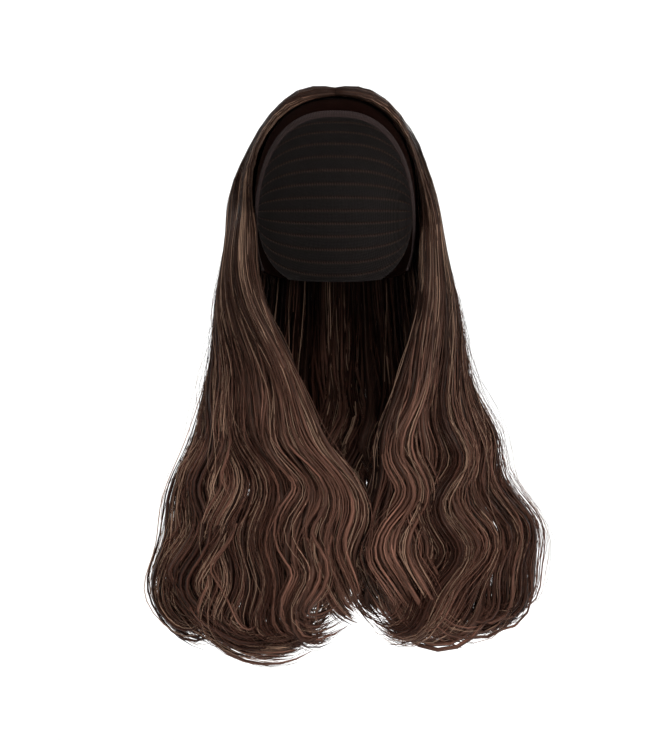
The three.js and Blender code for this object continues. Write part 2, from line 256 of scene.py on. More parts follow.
def crownRadius(direction):
    # from the head's middle out to the outer form of the hair over the cap
    low = np.full(direction.shape[:-1], crownForm["nearest"])
    high = np.full(direction.shape[:-1], crownForm["furthest"])
    for _ in range(crownForm["rounds"]):
        radius = (low + high) / 2
        p = middle + direction * radius[..., None]
        drop = (crownForm["above"] - p[..., 2]) / (crownForm["above"] + crownForm["drop"])
        share = np.clip(drop, 0, 1)
        towardsFace = smooth(-p[..., 1] / head["halfDepth"], crownForm["thinFrom"], crownForm["thinTo"])
        narrower = 1 - crownForm["thinner"] * towardsFace * (1 - crownForm["fuller"] * share ** 2)
        wide = np.interp(share, crownDrops, crownAcross) * crownForm["halfWidth"] * narrower
        deep = np.interp(share, crownDrops, crownDeep) * crownForm["halfDepth"]
        fill = (p[..., 0] / wide) ** 2 + ((p[..., 1] - crownForm["setBack"]) / deep) ** 2
        inside = (fill < 1) & (drop > 0)
        low, high = np.where(inside, radius, low), np.where(inside, high, radius)
    return (low + high) / 2


def curtain(name, over, down):
    # the middle surface of a fall, with its level directions along it and out of it
    fall = falls[name]
    if name == "back":
        edge = spline(fall["across"], down) * reach
        nearX, nearY = -edge, spline(fall["behind"], down) * behind
        farX, farY = edge, nearY
        bow = (spline(fall["middle"], down) - spline(fall["behind"], down)) * behind
    else:
        nearX, nearY = spline(fall["nearX"], down) * reach, -spline(fall["nearY"], down) * forward
        farX, farY = spline(fall["farX"], down) * reach, -spline(fall["farY"], down) * forward
        bow = spline(fall["bow"], down) * reach
    middleX, middleY = (nearX + farX) / 2, (nearY + farY) / 2
    chord = np.hypot(farX - nearX, farY - nearY)
    sideX, sideY = (farX - nearX) / chord, (farY - nearY) / chord
    outX, outY = sideY, -sideX
    turned = np.where(outX * middleX + outY * middleY < 0, -1, 1)
    outX, outY = outX * turned, outY * turned
    rounded = np.minimum(1, 2 * bow / chord)
    turn = math.pi * over
    acrossShare = (1 - rounded) * (2 * over - 1) - rounded * np.cos(turn)
    bowShare = (1 - rounded) * 4 * over * (1 - over) + rounded * np.sin(turn)
    slope = (1 - rounded) * 4 * (1 - 2 * over) + rounded * math.pi * np.cos(turn)
    run = ((1 - rounded) * 2 + rounded * math.pi * np.sin(turn)) * chord / 2
    run = np.maximum(run, leastRun * chord)
    normal = unit(np.stack([outX * run - sideX * slope * bow, outY * run - sideY * slope * bow], -1))
    x = middleX + sideX * acrossShare * chord / 2 + outX * bow * bowShare
    y = middleY + sideY * acrossShare * chord / 2 + outY * bow * bowShare
    # kept clear of the head, where it passes beside it
    thick = spline(fall["thick"], down) * fallThick
    clear = capFacts["wall"] + band["seam"] + thick / 2
    up = fallTop - down * fallLength
    wider = 1 + head["widerBehind"] * y / head["halfWidth"]
    power = head["roundness"]
    overHead = np.minimum(np.abs((up + head["above"]) / (head["below"] + clear)) ** power, 1)
    taken = np.abs(x / wider / (head["halfWidth"] + clear)) ** power
    taken = taken + np.abs(y / (head["halfDepth"] + clear)) ** power
    push = np.maximum(1, ((1 - overHead) / taken) ** (1 / power))
    flat = np.zeros_like(x)
    at = np.stack([x * push, y * push, up + flat], -1)
    side = np.stack([normal[..., 1], -normal[..., 0], flat], -1)
    along = np.where((side[..., 0] * sideX + side[..., 1] * sideY)[..., None] < 0, -1, 1)
    return at, side * along, np.stack([normal[..., 0], normal[..., 1], flat], -1), thick


# The front edge of the hair on each side, seen from that side: y against z
bandBack = np.array([0, math.sin(band["lean"]), math.cos(band["lean"])])
topShare = 1 - band["frontDrop"] / head["above"]
frontForward = head["halfDepth"] * (1 - topShare ** head["roundness"]) ** (1 / head["roundness"])
bandFront = np.array([0, -frontForward, -band["frontDrop"]])
hairStart = bandFront + bandBack * band["hairFrom"]
hairEdge = {
    "round": 0.012, "cheekPull": 1.3,
    "leftTemple": (0.0094, -0.0647), "leftCheek": (-0.0423, -0.115),
    "rightTemple": (0.0047, -0.0735), "rightCheek": (-0.0150, -0.115),
}


def bent(start, pull, end, count=24):
    t = np.linspace(0, 1, count)[:, None]
    start, pull, end = np.array(start), np.array(pull), np.array(end)
    return start * (1 - t) ** 2 + 2 * pull * t * (1 - t) + end * t * t


def hairLine(temple, cheek):
    top = (hairStart[1], hairStart[2] + hairEdge["round"])
    upper = bent(top, (hairStart[1], hairStart[2] - hairEdge["round"]), temple)
    lower = bent(temple, (temple[0], temple[1] * hairEdge["cheekPull"]), cheek)
    line = np.concatenate([upper, lower[1:]])
    return line[::-1]


hairLines = {
    -1: hairLine(hairEdge["leftTemple"], hairEdge["leftCheek"]),
    1: hairLine(hairEdge["rightTemple"], hairEdge["rightCheek"]),
}


def hairLineAt(side, z):
    left, right = hairLines[-1], hairLines[1]
    return np.where(side < 0, np.interp(z, left[:, 1], left[:, 0]), np.interp(z, right[:, 1], right[:, 0]))


# The hair's paths
crownComb = {
    "partingFront": -0.0535, "partingBack": 0.014, "partingShare": 0.5, "partingEase": 1.1,
    "fallShare": 0.31, "lineSoftness": 0.004, "denser": 1.3, "rounds": 3,
    "lagSoftness": 0.003, "lagEnds": 0.06, "lagUntil": 0.8, "lagEase": 1.15,  # behind the front edge
    "overCap": 0.0035, "least": 0.0006, "most": 0.0025, "overBand": 0.0036,
    "edgeRun": 0.018, "thinEdge": 0.35, "rise": 0.12, "sewnRise": 0.12, "joinFrom": 0.45,
    "fuller": 0.86, "fullerBy": 0.16, "fullerEnd": (0.25, 0.85), "closer": 0.42,
    "sides": 0.0048, "sidesFrom": (0.012, 0.036), "sidesTo": (-0.078, -0.03),
}
waves = {
    "count": 4.2, "swing": 0.74, "lean": 0.45, "outwards": 0.0075, "start": 0.2, "full": 0.62,
    "slant": 0.4, "past": 0.012, "calmer": 0.75, "turnEase": 1.2, "rounds": 8, "steps": 181,
    "phase": {"left": 0.56, "right": -1.95, "back": 1.1},
    "bulge": {"left": 0, "right": 0.009, "back": 0},
}
# how the locks of a fall end, from the edge beside the face to the far one: the lowest point as a share of
# the length, the radius of the last turn, how far it turns in degrees, and to which side
curls = {
    "left": {
        "ends": [.86, .92, .96, .975, .98, .98, .975, .965],
        "radius": [.03, .03, .029, .031, .032, .03, .024, .018],
        "turn": [120, 130, 145, 160, 165, 165, 165, 160],
        "towards": [-1, -1, -1, -1, -1, -1, -1, -1],
    },
    "right": {
        "ends": [.88, .93, .945, .95, .95, .945, .925, .895],
        "radius": [.026, .026, .028, .034, .038, .036, .028, .02],
        "turn": [85, 110, 165, 190, 200, 195, 185, 170],
        "towards": [1, 1, -1, -1, -1, -1, -1, -1],
    },
    "back": {
        "ends": [.96, .98, 1.0, 1.005, 1.005, 1.0, .985, .965],
        "radius": [.026, .03, .03, .03, .03, .03, .03, .026],
        "turn": [95, 90, 85, 80, 80, 85, 90, 95],
        "towards": [-1, -1, -1, -1, 1, 1, 1, 1],
    },
}
lockForm = {
    "overlap": {"left": 2.05, "right": 2.05, "back": 2.9},
    "gather": {"left": 0.9, "right": 0.9, "back": 0.72},
    "halfThick": 0.36, "bundles": 9, "spread": 0.36, "tip": 0.12,
}
# fine hairs, flat ribbons between them, wide ones inside the falls, and stray hairs; shade paints the ribbons
# a little darker and the wide inner ones much darker, painted shade that stands in for the shadow between and
# inside the locks
strandKinds = {
    "fine": {
        "wide": (.00042, .00095), "flat": 0.7, "wander": 1.7, "loose": 0.33, "trim": 0.075, "gather": 1,
        "light": 0.6, "deeper": 0, "shade": 1, "spread": 1, "narrow": 0, "follow": 1,
    },
    "ribbon": {
        "wide": (.0020, .0042), "flat": 0.2, "wander": 0.6, "loose": 0, "trim": 0.05, "gather": 0.96,
        "light": 0.02, "deeper": 0.03, "shade": 0.9, "spread": 1.5, "narrow": 0.85, "follow": 1,
    },
    "inner": {
        "wide": (.0040, .0075), "flat": 0.14, "wander": 0.5, "loose": 0, "trim": 0.06, "gather": 0.2,
        "light": 0, "deeper": 0.16, "shade": 0.42, "spread": 0.8, "narrow": 0.88, "follow": 0.7,
    },
    "stray": {
        "wide": (.00024, .00038), "flat": 0.9, "wander": 4, "loose": 1, "trim": 0.3, "gather": 0.6,
        "light": 0.6, "deeper": 0, "shade": 1, "spread": 1.9, "narrow": 0, "follow": 1, "away": 0.0042,
    },
}


def slerp(a, b, share):
    angle = np.arccos(np.clip((a * b).sum(-1), -1, 1))[..., None]
    s = share[..., None]
    return unit(np.sin((1 - s) * angle) * a + np.sin(s * angle) * b)


def softly(value, softness):
    return softness * np.logaddexp(0, value / softness)


def partingPoint(share, side, x):
    facts = crownComb
    back = np.clip(share / facts["partingShare"], 0, 1) ** facts["partingEase"]
    y = facts["partingFront"] + (facts["partingBack"] - facts["partingFront"]) * back
    direction = unit(np.stack([side * x, y, np.zeros_like(y)], -1) - middle)
    return middle + direction * headRadius(direction, facts["overCap"])[..., None]


def crownPaths(side, share, rim, depth, start, line, spread, count):
    # from the parting, over the cap, down to where the falls start
    facts = crownComb
    steps = np.linspace(0, 1, count, endpoint=False)[None, :] ** facts["denser"]
    s = start[:, None] + (1 - start[:, None]) * steps
    root = unit(partingPoint(share, side, spread) - middle)
    toRim = unit(rim - middle)
    direction = slerp(root[:, None, :], toRim[:, None, :], s)
    nearRim = {}
    for name, sign in (("left", -1), ("right", 1)):
        nearRim[sign] = unit(curtain(name, np.zeros(1), np.zeros(1))[0][0] - middle)
    edgeRim = np.where(side[:, None] < 0, nearRim[-1], nearRim[1])
    edgeRoot = unit(partingPoint(np.zeros_like(share), side, spread) - middle)
    edge = slerp(edgeRoot[:, None, :], edgeRim[:, None, :], s)
    sideOf = side[:, None]
    # the front of the hair follows the band, and what lies behind it follows the front
    edgeAt = middle + edge * crownRadius(edge)[..., None]
    lag = softly(hairLineAt(sideOf, edgeAt[..., 2]) - edgeAt[..., 1], facts["lagSoftness"])
    lag = lag * np.clip(s / facts["lagEnds"], 0, 1) * np.clip((1 - s) / facts["lagEnds"], 0, 1)
    at = middle + direction * crownRadius(direction)[..., None]
    at[..., 1] += lag * np.clip(1 - share / facts["lagUntil"], 0, 1)[:, None] ** facts["lagEase"]
    for _ in range(facts["rounds"]):
        direction = unit(at - middle)
        at = middle + direction * crownRadius(direction)[..., None]
        limit = hairLineAt(sideOf, at[..., 2]) + line[:, None]
        at[..., 1] = limit + softly(at[..., 1] - limit, facts["lineSoftness"])
    direction = unit(at - middle)
    inner = headRadius(direction, facts["overCap"]) + facts["least"]
    outer = np.maximum(crownRadius(direction), inner + facts["most"])
    # how far out a hair lies between the cap and the outer form
    behindLine = at[..., 1] - hairLineAt(sideOf, at[..., 2])
    thinEdge = facts["thinEdge"] + (1 - facts["thinEdge"]) * smooth(behindLine, 0, facts["edgeRun"])
    lift = (1 - depth)[:, None] * (0.5 + 0.5 * smooth(s, 0, facts["rise"])) * thinEdge
    fuller = (0.5 + 0.5 * smooth(s, 0, facts["fullerBy"])) * (1 - smooth(s, *facts["fullerEnd"]))
    lift = lift * (1 + facts["fuller"] * fuller)
    fromRoot = smooth(s - start[:, None], 0, facts["sewnRise"])
    lift = np.where(start[:, None] > 0, lift * fromRoot, lift)
    rimInner = headRadius(toRim, facts["overCap"]) + facts["least"]
    rimOuter = np.maximum(crownRadius(toRim), rimInner + facts["most"])
    rimLift = (np.linalg.norm(rim - middle, axis=-1) - rimInner) / (rimOuter - rimInner)
    lift = lift + (rimLift[:, None] - lift) * smooth(s, facts["joinFrom"], 1)
    radius = inner + (outer - inner) * lift
    whereAt = middle + direction * radius[..., None]
    besideTop = smooth(np.abs(whereAt[..., 0]), *facts["sidesFrom"])
    besideTop = besideTop * smooth(whereAt[..., 2], *facts["sidesTo"])
    radius = radius + facts["sides"] * besideTop * np.clip(lift, 0, 1)
    return middle + direction * radius[..., None], direction


growth = {
    "lockBlur": 0.3, "inward": -0.5, "faces": 0.46, "inside": 0.75, "insideEase": 1.6,
    "bundleTrim": 0.45, "ownTrim": 0.55, "upperSteps": 11, "upperShare": 0.45,
    "ahead": 0.009, "looseAhead": 0.028, "aheadRun": 0.35,
    "gatherRun": (0.1, 0.62), "looseGather": 0.75, "looseSpread": 1.9, "mostSpread": 1.7, "tipRun": (0.72, 1),
    "levels": 24, "columns": 21, "lowest": 1.02, "edge": 0.004, "outwardLag": 1.5, "bulgeRun": (0.5, 0.8),
    "drift": 0.0025, "driftTurns": 1.1, "driftRun": (0.1, 0.5),
    "looseWander": 2.4, "wanderRun": (0, 0.3), "cycles": (2.5, 5.5), "rates": (0.8, 1.25),
    "wanderAcross": 0.0006, "wanderDeep": 0.0005, "deepest": (-0.5, 0.62), "tuck": 0.5,
    "thinEdge": 0.42, "thinNear": (0, 0.2), "thinFar": (0.8, 1), "thinnerFar": 0.3, "thinUntil": (0.2, 0.6),
    "flatUntil": (0.25, 0.75), "farthest": 1.8, "awayRun": (0.02, 0.5), "awayFar": 1.2, "awayNear": 0.2,
    "sewnStart": (0.25, 0.85), "rootDepth": 0.55, "rootBlur": 0.14, "deepestRoot": 0.9,
    "lineBlur": 0.0016, "lineNear": 0.001, "smoothings": 2,
    "wideEase": 1.5, "looseWide": 0.4, "tipRunWidth": 0.075, "tipEase": 0.6, "tipWidth": 0.12,
    "rootWidth": 0.55, "rootRun": 0.08, "besideOver": (0.15, 0.45), "besideDown": (0.04, 0.2),
}


def wander(count, share, size):
    # smooth random sideways drift, one row for each strand
    drift = np.zeros(share.shape)
    cycles = growth["cycles"]
    for cycle in cycles:
        phase = rng.uniform(0, 2 * math.pi, (count, 1))
        rate = rng.uniform(*growth["rates"], (count, 1)) * cycle
        drift += np.sin(2 * math.pi * rate * share + phase) / math.sqrt(len(cycles))
    return drift * size


def fallWidths(name):
    # how wide a fall is at each level, along its curve
    levels = np.linspace(0, growth["lowest"], growth["levels"])
    at = curtain(name, np.linspace(0, 1, growth["columns"])[None, :], levels[:, None])[0]
    return levels, np.linalg.norm(np.diff(at, axis=1), axis=-1).sum(1)


lockChances = {
    "place": (0.2, 0.8), "depth": (-0.26, 0.3), "phase": 0.4, "phaseRun": 0.22, "sweep": 0.5, "sweeps": 9,
    "wave": (0.75, 1.2), "edgeWave": 0.45, "edgeRun": 0.15, "rate": (0.94, 1.06), "shorter": 0.02,
    "radius": (0.85, 1.15), "turn": (0.85, 1.12), "tuck": (-0.1, 0.6), "bundleTurn": 2.4,
}


def locksOf(name, count):
    # each lock of a fall has its own place, wave, end, tone and bundles
    facts, full = lockChances, 2 * math.pi
    place = (np.arange(count) + rng.uniform(*facts["place"], count)) / count

    def along(key):
        values = curls[name][key]
        return np.interp(place, (np.arange(len(values)) + 0.5) / len(values), values)

    bundles = lockForm["bundles"]
    ring = np.sqrt((np.arange(bundles) + 0.5) / bundles)
    turn = np.arange(bundles) * facts["bundleTurn"] + rng.uniform(0, full, (count, 1))
    atEdge = np.minimum(place, 1 - place)
    depth = rng.uniform(*facts["depth"], count)
    phase = rng.normal(0, facts["phase"], count) * smooth(atEdge, 0, facts["phaseRun"])
    phase = phase + facts["sweep"] * np.sin(place * facts["sweeps"] + rng.uniform(0, 6))
    calm = facts["edgeWave"] + (1 - facts["edgeWave"]) * smooth(atEdge, 0, facts["edgeRun"])
    return {
        "over": place, "depth": depth, "phase": phase,
        "wave": rng.uniform(*facts["wave"], count) * calm,
        "rate": rng.uniform(*facts["rate"], count),
        "end": along("ends") - rng.uniform(0, facts["shorter"], count),
        "radius": along("radius") * rng.uniform(*facts["radius"], count),
        "turn": np.radians(along("turn")) * rng.uniform(*facts["turn"], count),
        "towards": np.sign(along("towards") + rng.normal(0, 0.01, count)),
        "tuck": rng.uniform(*facts["tuck"], count),
        "tone": rng.normal(0, 1, count),
        "drift": rng.uniform(0, full, count),
        "bundleAcross": ring * np.cos(turn), "bundleDeep": ring * np.sin(turn),
        "bundleEnd": rng.uniform(0, 1, (count, bundles)), "bundleTone": rng.normal(0, 1, (count, bundles)),
        "bundleLight": rng.random((count, bundles)),
    }


def lockCourses(name, locks):
    # the middle line of each lock from its heading, which swings with the waves and turns in at the end
    share = np.linspace(0, 1, waves["steps"])[None, :]
    goal = locks["end"] * fallLength
    length = goal.copy()
    turnRun = locks["radius"] * locks["turn"]
    none = np.zeros((len(goal), 1))
    for _ in range(waves["rounds"]):
        run = share * length[:, None]
        curl = np.clip((run - (length - turnRun)[:, None]) / turnRun[:, None], 0, 1) ** waves["turnEase"]
        down = run / fallLength
        swell = smooth(down, waves["start"], waves["full"]) * locks["wave"][:, None]
        swell = swell * (1 - waves["calmer"] * curl)
        turns = waves["count"] * locks["rate"][:, None] * down + waves["slant"] * locks["over"][:, None]
        phase = 2 * math.pi * turns + waves["phase"][name] + locks["phase"][:, None]
        turnIn = (locks["towards"] * locks["turn"])[:, None] * curl
        swing = waves["swing"] * swell * np.cos(phase)
        heading = (turnIn + swing)[:, :-1]
        step = (length / (share.size - 1))[:, None]
        across = np.concatenate([none, np.cumsum(np.sin(heading) * step, 1)], 1)
        level = np.concatenate([none, np.cumsum(np.cos(heading) * step, 1)], 1)
        length = length + goal - level.max(1)
    # a lock's width turns with its end, and leans a little with its waves
    return {
        "across": across, "level": level, "lean": turnIn + waves["lean"] * swing,
        "phase": phase, "swell": swell, "curl": curl,
    }


def onCourse(courses, key, lock, share):
    # a value of the locks' courses for each strand at its shares of the lock's length
    rows = courses[key]
    place = np.clip(share, 0, 1) * (rows.shape[1] - 1)
    i = np.clip(place.astype(int), 0, rows.shape[1] - 2)
    w = place - i
    row = lock[:, None]
    return rows[row, i] * (1 - w) + rows[row, i + 1] * w


def ease(rows):
    # each point moves towards its neighbours
    rows[:, 1:-1] = 0.25 * rows[:, :-2] + 0.5 * rows[:, 1:-1] + 0.25 * rows[:, 2:]


def growStrands(name, side, count, low, high, locks, kindName, crownPoints, fallPoints, rooted):
    # count strands of one fall, between two shares of it, from their roots to their tips
    kind, facts = strandKinds[kindName], growth
    lockCount, bundles = len(locks["over"]), lockForm["bundles"]
    over = low + (high - low) * (np.arange(count) + rng.uniform(0, 1, count)) / count
    rng.shuffle(over)
    blur = rng.normal(0, facts["lockBlur"] / lockCount, (count, lockCount))
    lock = (np.abs(over[:, None] - locks["over"][None, :]) + blur).argmin(1)
    pick = {key: value[lock] for key, value in locks.items() if value.ndim == 1}
    loose = rng.random(count) < kind["loose"]
    bundle = rng.integers(0, bundles, count)
    # more of them lie on the two faces of the fall than inside it
    face = facts["faces"] * np.sign(rng.uniform(facts["inward"], 1, count))
    depth = face * (1 - rng.random(count) ** facts["insideEase"] * facts["inside"])
    courses = lockCourses(name, locks)
    trim = facts["bundleTrim"] * locks["bundleEnd"][lock, bundle] + facts["ownTrim"] * rng.random(count) ** 2
    upper, upperShare = facts["upperSteps"], facts["upperShare"]
    steps = np.concatenate([
        np.linspace(0, upperShare, upper + 1)[:-1], np.linspace(upperShare, 1, fallPoints - upper)])
    share = steps[None, :] * (1 - kind["trim"] * trim)[:, None]
    # each hair waves a little before or after its lock
    ahead = rng.normal(0, 1, count) * np.where(loose, facts["looseAhead"], facts["ahead"])
    place = share + ahead[:, None] * smooth(share, 0, facts["aheadRun"])
    course = {key: onCourse(courses, key, lock, place) for key in courses}
    downLock = np.clip(course["level"] / fallLength, 0, facts["lowest"])
    levels, widths = fallWidths(name)
    width = np.interp(downLock, levels, widths)
    # gathered into its bundle and lock on the way down
    gather = kind["gather"] * lockForm["gather"][name] * smooth(downLock, *facts["gatherRun"])
    gather = gather * np.where(loose, facts["looseGather"], 1)[:, None]
    spread = lockForm["spread"] * np.where(loose, facts["looseSpread"], kind["spread"])
    tipIn = 1 - lockForm["tip"] * smooth(steps, *facts["tipRun"])[None, :] * np.where(loose, 0, 1)[:, None]
    most = facts["mostSpread"]
    ownAcross = (np.clip(rng.normal(0, 1, count), -most, most) * spread)[:, None] * tipIn
    ownDeep = (np.clip(rng.normal(0, 1, count), -most, most) * spread)[:, None] * tipIn
    inAcross = locks["bundleAcross"][lock, bundle][:, None] + ownAcross
    inDeep = locks["bundleDeep"][lock, bundle][:, None] + ownDeep
    halfWide = 0.5 * lockForm["overlap"][name] * width / lockCount
    offset = (over - pick["over"])[:, None] * width * (1 - gather) + inAcross * halfWide * gather
    across = course["across"] * kind["follow"] + offset * np.cos(course["lean"])
    level = course["level"] - offset * np.sin(course["lean"])
    down = np.clip(level / fallLength, 0, facts["lowest"])
    overAt = pick["over"][:, None] + across / width
    overIn = np.clip(overAt, facts["edge"], 1 - facts["edge"])
    at, along, normal, thick = curtain(name, overIn, down)
    # sideways and outwards from the fall's middle surface
    outward = waves["outwards"] * course["swell"] * np.sin(course["phase"] + facts["outwardLag"])
    drift = np.sin(2 * math.pi * facts["driftTurns"] * down + pick["drift"][:, None])
    past = (overAt - overIn) * width
    aside = waves["past"] * np.tanh(past / waves["past"])
    aside = aside + facts["drift"] * drift * smooth(down, *facts["driftRun"])
    aside = aside + waves["bulge"][name] * pick["over"][:, None] * smooth(down, *facts["bulgeRun"])
    frizz = kind["wander"] * np.where(loose, facts["looseWander"], 1)[:, None]
    frizz = frizz * smooth(down, *facts["wanderRun"])
    aside = aside + wander(count, share, facts["wanderAcross"]) * frizz
    outward = outward + wander(count, share, facts["wanderDeep"]) * frizz
    lockDeep = pick["depth"][:, None] + inDeep * lockForm["halfThick"]
    deep = np.clip(depth[:, None] * (1 - gather) + lockDeep * gather, *facts["deepest"]) - kind["deeper"]
    fullness = 1 - facts["thinnerFar"] * smooth(overIn, *facts["thinFar"])
    fullness = fullness * smooth(overIn, *facts["thinNear"])
    thin = facts["thinEdge"] + (1 - facts["thinEdge"]) * fullness
    thin = thin + (1 - thin) * smooth(down, *facts["thinUntil"])
    flatter = 1 - crownComb["closer"] * (1 - smooth(down, *facts["flatUntil"]))
    deepAt = (np.where(deep > 0, deep * flatter, deep) * thin - 0.5 * (1 - thin)) * thick
    if "away" in kind:
        # stray hairs stand off the fall, and past its edges
        far = np.minimum(rng.exponential(1, count), facts["farthest"])[:, None]
        far = kind["away"] * far * smooth(down, *facts["awayRun"])
        deepAt = deepAt + far
        if name != "back":
            aside = aside + far * (facts["awayFar"] * pick["over"][:, None] - facts["awayNear"])
    tucked = -pick["tuck"][:, None] * pick["radius"][:, None] * facts["tuck"] * course["curl"]
    path = at + along * aside[..., None] + normal * (outward + deepAt + tucked)[..., None]
    path[..., 2] = fallTop - level
    # the part over the cap
    sideOf = np.full(count, side, float) if side else np.where(over < 0.5, -1.0, 1.0)
    fallShare = crownComb["fallShare"]
    if name == "back":
        onCrown = fallShare + (1 - fallShare) * np.minimum(over, 1 - over) * 2
    else:
        onCrown = over * fallShare
    start = np.zeros(count) if rooted else rng.uniform(*facts["sewnStart"], count)
    under = (facts["faces"] - depth) * facts["rootDepth"] + rng.uniform(0, facts["rootBlur"], count)
    under = np.clip(under, 0, facts["deepestRoot"])
    line = rng.exponential(facts["lineBlur"], count) - facts["lineNear"]
    rootAside = rng.exponential(facts["lineBlur"], count) * rng.choice([1, 1, 1, -0.5], count)
    overCap, direction = crownPaths(sideOf, onCrown, path[:, 0], under, start, line, rootAside, crownPoints)
    whole = np.concatenate([overCap, path], 1)
    out = np.concatenate([direction, normal], 1)
    for _ in range(facts["smoothings"]):
        ease(whole)
        ease(out)
    # clear of the band and the cap
    outOfHead = unit(whole - middle)
    least = headRadius(outOfHead, crownComb["overBand"])
    tooClose = np.maximum(least - np.linalg.norm(whole - middle, axis=-1), 0)
    whole = whole + outOfHead * tooClose[..., None]
    segment = np.linalg.norm(np.diff(whole, axis=1), axis=-1)
    travelled = np.concatenate([np.zeros((count, 1)), np.cumsum(segment, 1)], 1)
    shareAll = travelled / travelled[:, -1:]
    downAll = np.concatenate([np.zeros((count, crownPoints)), down], 1)
    thinnest, widest = kind["wide"]
    wide = rng.random(count) ** facts["wideEase"] * np.where(loose, facts["looseWide"], 1)
    wide = thinnest + (widest - thinnest) * wide
    taper = np.clip((1 - shareAll) / facts["tipRunWidth"], 0, 1) ** facts["tipEase"]
    taper = taper * (1 - facts["tipWidth"]) + facts["tipWidth"]
    rootWidth = facts["rootWidth"]
    taper = taper * (rootWidth + (1 - rootWidth) * smooth(shareAll, 0, facts["rootRun"]))
    # wide ones are narrow where the front edge turns from the side of the head into the fall
    if name != "back":
        besideFace = (1 - smooth(over, *facts["besideOver"]))[:, None]
        besideFace = besideFace * (1 - smooth(downAll, *facts["besideDown"]))
        taper = taper * (1 - kind["narrow"] * besideFace)
    colour = strandColours(name, over, shareAll, downAll, pick["tone"], locks, lock, bundle, kind)
    return {
        "path": whole, "out": unit(out), "width": wide[:, None] * taper, "length": travelled,
        "flat": kind["flat"], "colour": colour,
    }


hairTones = {
    "root": (0.0085, 0.0032, 0.0020),
    "dark": (0.0110, 0.0038, 0.0024),
    "body": (0.0745, 0.0345, 0.0238),
    "light": (0.2150, 0.1340, 0.0910),
    "lockMood": 0.3, "bundleMood": 0.4, "ownMood": 0.5, "middle": 0.42, "contrast": 0.5,
    "lightBundles": 0.22, "elsewhere": 0.17, "nearFace": 0.3, "nearFaceOver": 0.12,
    "leastShine": 0.4, "rootShine": 0.3, "shineRun": (0.01, 0.12), "lightLevel": 0.95, "lightKept": 0.8,
    "crown": 0.44, "falls": 1.45, "fallRun": (0.08, 0.6),
    # the arcs beside the parting are a painted highlight on the light strands
    "arcs": 1.3, "arcsOver": 0.11, "arcStart": (0.02, 0.06), "arcEnd": (0.11, 0.2),
    # how far down the dark roots reach on each side, and beside the face on the left: partly the roots' own
    # colour, partly painted shade on the left
    "rootShare": {"left": 0.66, "right": 0.42, "back": 0.32}, "rootDepth": 0.7, "rootKept": 0.9,
    "temple": {"left": 0.42, "right": 0, "back": 0}, "templeOver": (0.15, 0.5), "least": 0.001,
}


def strandColours(name, over, share, down, lockTone, locks, lock, bundle, kind):
    tones = hairTones
    count = len(share)
    mood = lockTone * tones["lockMood"] + locks["bundleTone"][lock, bundle] * tones["bundleMood"]
    mood = mood + rng.normal(0, tones["ownMood"], count)
    mix = np.clip(tones["middle"] + tones["contrast"] * mood, 0, 1)[:, None, None]
    root, dark, body, light = (np.array(tones[key]) for key in ("root", "dark", "body", "light"))
    colour = dark + (body - dark) * mix * np.ones((1, share.shape[1], 1))
    # light strands come in bundles, with a few between them
    inLight = locks["bundleLight"][lock, bundle] < tones["lightBundles"]
    chance = kind["light"] * np.where(inLight, 1, tones["elsewhere"])
    chance = chance * (1 + tones["nearFace"] * (over < tones["nearFaceOver"]))
    isLight = rng.random(count) < chance
    atRoot = tones["rootShine"] + (1 - tones["rootShine"]) * smooth(share, *tones["shineRun"])
    shine = (isLight * rng.uniform(tones["leastShine"], 1, count))[:, None] * atRoot
    colour = colour + (light - colour) * shine[..., None]
    level = tones["crown"] + (tones["falls"] - tones["crown"]) * smooth(down, *tones["fallRun"])
    level = level + (tones["lightLevel"] - level) * shine * tones["lightKept"]
    # painted highlight: light strands are made brighter still in thin arcs beside the parting, where sheen
    # lies on the top of the crown
    beside = smooth(share, *tones["arcStart"]) * (1 - smooth(share, *tones["arcEnd"]))
    level = level + tones["arcs"] * beside * (isLight & (over < tones["arcsOver"]))[:, None]
    # each kind's shade darkens it: painted shade on the ribbons and the inner ones, like the shadow between
    # locks
    colour = colour * level[..., None] * kind["shade"]
    # the roots' own darker colour, which reaches further down on the left fall than on the right or the back,
    # and further still beside the face on the left: this extra reach is painted shade on the side that gets
    # less light
    beside = tones["temple"][name] * (1 - smooth(over, *tones["templeOver"]))
    darkShare = (tones["rootShare"][name] * (1 + beside))[:, None]
    rootColourAndShade = (1 - smooth(share, 0, darkShare)) * (1 - shine * tones["rootKept"])
    colour = colour + (root - colour) * (rootColourAndShade * tones["rootDepth"])[..., None]
    return np.clip(colour, tones["least"], 1)


tubes = {"ridge": 0.67, "shift": 8, "margin": 0.002, "spots": (0.1, 0.5, 0.9)}


def addPiece(name, mesh, material):
    mesh.materials.append(material)
    piece = bpy.data.objects.new(name, mesh)
    bpy.context.scene.collection.objects.link(piece)
    return piece


def smoothPiece(name, bm, material):
    for face in bm.faces:
        face.smooth = True
    mesh = bpy.data.meshes.new(name)
    bm.to_mesh(mesh)
    bm.free()
    return addPiece(name, mesh, material)


